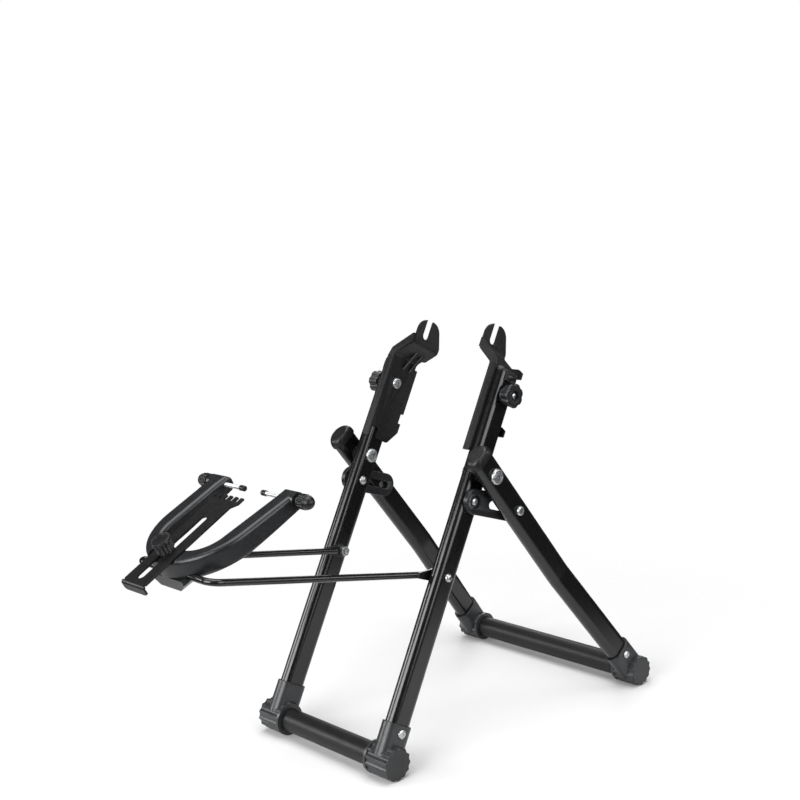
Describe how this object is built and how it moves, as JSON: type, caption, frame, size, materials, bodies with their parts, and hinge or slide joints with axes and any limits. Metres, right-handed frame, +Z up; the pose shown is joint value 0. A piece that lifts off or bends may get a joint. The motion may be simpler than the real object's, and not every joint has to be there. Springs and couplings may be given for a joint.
{
  "type": "wheel truing stand",
  "caption": "Folding bench stand that holds a bicycle wheel by its axle, with a swinging wire arm, a yoke with feeler screws and a sliding comb gauge.",
  "frame": {"origin": "on the floor, in the middle of the stand's length and width", "axes": "+Z up, +Y to the rear feet along the stand's length, +X across its width to the right-hand upright"},
  "size_m": [0.279, 0.5887, 0.4325],
  "materials": {
    "powder_coat": "glossy powder coat",
    "black_wire": "satin black paint",
    "black_sheet": "satin black paint",
    "moulded": "fine moulded grain",
    "moulded_dark": "satin",
    "zinc": "bright zinc plate"
  },
  "bodies": {
    "front_frame": {"front_bar": "black_wire", "right_upright": "powder_coat", "left_upright": "powder_coat", "right_upright_cap": "moulded_dark", "left_upright_cap": "moulded_dark", "right_front_foot": "moulded", "left_front_foot": "moulded", "right_front_foot_rivet": "zinc", "left_front_foot_rivet": "zinc", "right_pivot_bolt": "zinc", "left_pivot_bolt": "zinc", "right_pivot_spacer": "moulded_dark", "left_pivot_spacer": "moulded_dark", "right_link_screw": "zinc", "left_link_screw": "zinc", "right_wire_bolt": "zinc", "left_wire_bolt": "zinc", "right_wire_nut": "zinc", "left_wire_nut": "zinc"},
    "rear_frame": {"rear_bar": "black_wire", "right_rear_leg": "powder_coat", "left_rear_leg": "powder_coat", "right_rear_leg_cap": "moulded_dark", "left_rear_leg_cap": "moulded_dark", "right_rear_foot": "moulded", "left_rear_foot": "moulded", "right_rear_foot_rivet": "zinc", "left_rear_foot_rivet": "zinc", "right_leg_screw": "zinc", "left_leg_screw": "zinc"},
    "right_link": {"right_stay_link": "moulded"},
    "left_link": {"left_stay_link": "moulded"},
    "wire": {"wire_arm": "black_wire"},
    "yoke_block": {"yoke": "moulded"},
    "gauge": {"comb_gauge": "black_sheet"},
    "thumb_screw": {"thumb_knob": "moulded_dark", "thumb_stud": "zinc"},
    "right_feeler": {"right_feeler_screw": "zinc", "right_feeler_tip": "moulded_dark", "right_feeler_cap": "moulded_dark"},
    "left_feeler": {"left_feeler_screw": "zinc", "left_feeler_tip": "moulded_dark", "left_feeler_cap": "moulded_dark"},
    "right_dropout": {"right_dropout_plate": "black_sheet", "right_clamp_bolt": "zinc"},
    "left_dropout": {"left_dropout_plate": "black_sheet", "left_clamp_bolt": "zinc"},
    "right_knob": {"right_star_knob": "moulded"},
    "left_knob": {"left_star_knob": "moulded"}
  },
  "joints": [
    {"name": "rear_frame_fold", "type": "hinge", "parent": "front_frame", "child": "rear_frame", "pos_m": [0, 0.07113, 0.28473], "axis": [1, 0, 0], "range_deg": [-63, 0]},
    {"name": "right_link_swing", "type": "hinge", "parent": "front_frame", "child": "right_link", "pos_m": [0.0968, 0.05672, 0.25842], "axis": [1, 0, 0], "range_deg": [-92, 0]},
    {"name": "left_link_swing", "type": "hinge", "parent": "front_frame", "child": "left_link", "pos_m": [-0.0968, 0.05672, 0.25842], "axis": [1, 0, 0], "range_deg": [-92, 0]},
    {"name": "wire_arm_swing", "type": "hinge", "parent": "front_frame", "child": "wire", "pos_m": [0, 0.01691, 0.1857], "axis": [1, 0, 0], "range_deg": [-45, 30]},
    {"name": "yoke_tilt", "type": "hinge", "parent": "wire", "child": "yoke_block", "pos_m": [0, -0.25032, 0.24153], "axis": [1, 0, 0], "range_deg": [-20, 35]},
    {"name": "comb_gauge_slide", "type": "slide", "parent": "yoke_block", "child": "gauge", "axis": [0, 0.8846, 0.4664], "range_m": [-0.044, 0.029]},
    {"name": "thumb_screw_turn", "type": "hinge", "parent": "yoke_block", "child": "thumb_screw", "pos_m": [0, -0.2534, 0.25986], "axis": [0, -0.4664, 0.8846], "continuous": true},
    {"name": "right_feeler_slide", "type": "slide", "parent": "yoke_block", "child": "right_feeler", "axis": [1, 0, 0], "range_m": [-0.0037, 0.025]},
    {"name": "left_feeler_slide", "type": "slide", "parent": "yoke_block", "child": "left_feeler", "axis": [-1, 0, 0], "range_m": [-0.0037, 0.025]},
    {"name": "right_dropout_slide", "type": "slide", "parent": "front_frame", "child": "right_dropout", "axis": [-1, 0, 0], "range_m": [0, 0.006]},
    {"name": "left_dropout_slide", "type": "slide", "parent": "front_frame", "child": "left_dropout", "axis": [1, 0, 0], "range_m": [0, 0.006]},
    {"name": "right_star_knob_turn", "type": "hinge", "parent": "front_frame", "child": "right_knob", "pos_m": [0.103, 0.11339, 0.36192], "axis": [1, 0, 0], "continuous": true},
    {"name": "left_star_knob_turn", "type": "hinge", "parent": "front_frame", "child": "left_knob", "pos_m": [-0.103, 0.11339, 0.36192], "axis": [-1, 0, 0], "continuous": true}
  ],
  "couplings": [
    {"joint": "right_link_swing", "follows": "rear_frame_fold", "ratio": 1.457},
    {"joint": "left_link_swing", "follows": "rear_frame_fold", "ratio": 1.457}
  ]
}
